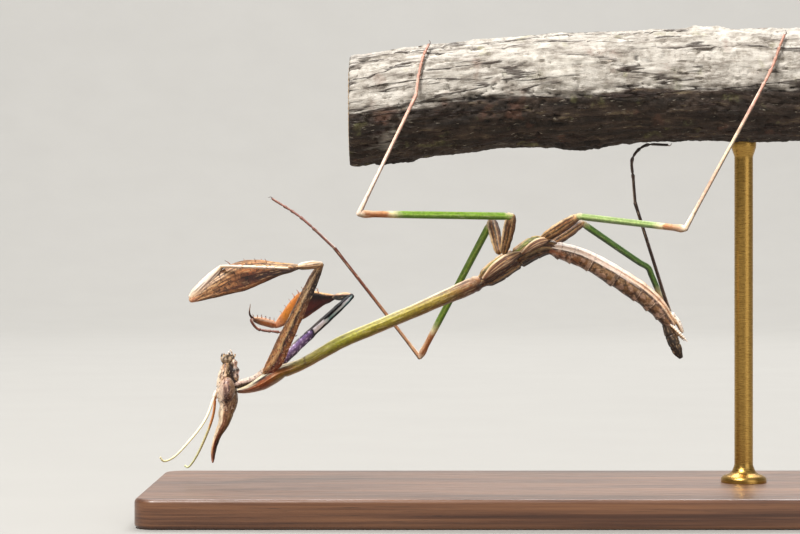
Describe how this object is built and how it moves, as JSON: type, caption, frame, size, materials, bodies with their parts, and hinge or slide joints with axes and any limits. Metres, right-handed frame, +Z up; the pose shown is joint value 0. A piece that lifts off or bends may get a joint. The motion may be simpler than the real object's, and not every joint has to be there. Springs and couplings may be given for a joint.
{
  "type": "praying mantis model",
  "caption": "Life-size still model of a young conehead mantis hanging upside down from a short cut branch, held on a rod above a flat wooden base.",
  "frame": {"origin": "centre of the stand base's underside, on the surface it stands on", "axes": "+X along the base towards the insect's rear, the insect faces -X; +Y towards the insect's left side; +Z up, away from the floor"},
  "size_m": [0.098, 0.0499, 0.0682],
  "materials": {
    "face": "mottled cream and brown cuticle, satin",
    "cone": "pinkish tan cuticle with dark red-brown streaks, satin",
    "eye": "mottled eye, glossy",
    "feeler": "cream and orange-brown, satin",
    "shield": "rust brown with cream margins, satin",
    "shaft": "yellow-olive with fine streaks, satin",
    "thorax": "brown with cream ridges, satin",
    "wing_pad": "brown with cream veins, satin",
    "abdomen": "mottled brown plates with a pale underside, satin",
    "tail_plate": "dark olive brown, satin",
    "pale_cuticle": "cream cuticle, satin",
    "coxa_inner": "violet grains, white patch, black and pale green stripes, satin",
    "raptorial": "streaked tan and brown cuticle, satin",
    "hip": "brown with cream ridges, satin",
    "green_femur": "yellow-green with a brown knee end, satin",
    "shin": "pinkish cream and tan, satin",
    "bark": "grey weathered bark with cracks, rough",
    "stand_wood": "dark stained hardwood, satin varnish",
    "stand_metal": "brushed"
  },
  "bodies": {
    "root": {"perch_branch": "bark", "stand_base": "stand_wood", "stand_rod": "stand_metal", "prothorax_shield": "shield", "prothorax_shaft": "shaft", "mesothorax": "thorax", "metathorax": "thorax", "abdomen_1": "abdomen", "abdomen_2": "abdomen", "abdomen_3": "abdomen", "abdomen_4": "abdomen", "abdomen_5": "abdomen", "abdomen_6": "abdomen", "abdomen_7": "abdomen", "abdomen_8": "abdomen", "supra_anal_plate": "tail_plate", "subgenital_plate": "pale_cuticle", "cercus_right": "pale_cuticle", "cercus_left": "pale_cuticle", "wing_pad_fore_right": "wing_pad", "wing_pad_hind_right": "wing_pad", "wing_pad_fore_left": "wing_pad", "wing_pad_hind_left": "wing_pad", "eye_right": "eye", "eye_left": "eye", "head": "face", "head_cone": "cone", "labium": "face", "mouthparts": "face", "neck": "pale_cuticle", "antenna_right": "feeler", "antenna_left": "feeler", "fore_coxa_right": "raptorial", "fore_trochanter_right": "pale_cuticle", "fore_femur_right": "raptorial", "fore_tibia_right": "raptorial", "fore_tarsus_right": "shin", "fore_coxa_left": "coxa_inner", "fore_trochanter_left": "pale_cuticle", "fore_femur_left": "raptorial", "fore_tibia_left": "raptorial", "fore_tarsus_left": "shin", "mid_coxa_right": "hip", "mid_femur_right": "green_femur", "mid_tibia_right": "shin", "mid_tarsus_right": "shin", "mid_coxa_left": "hip", "mid_femur_left": "green_femur", "mid_tibia_left": "shin", "mid_tarsus_left": "shin", "hind_coxa_right": "hip", "hind_femur_right": "green_femur", "hind_tibia_right": "shin", "hind_tarsus_right": "shin", "hind_coxa_left": "hip", "hind_femur_left": "green_femur", "hind_tibia_left": "shin", "hind_tarsus_left": "shin"}
  },
  "joints": []
}
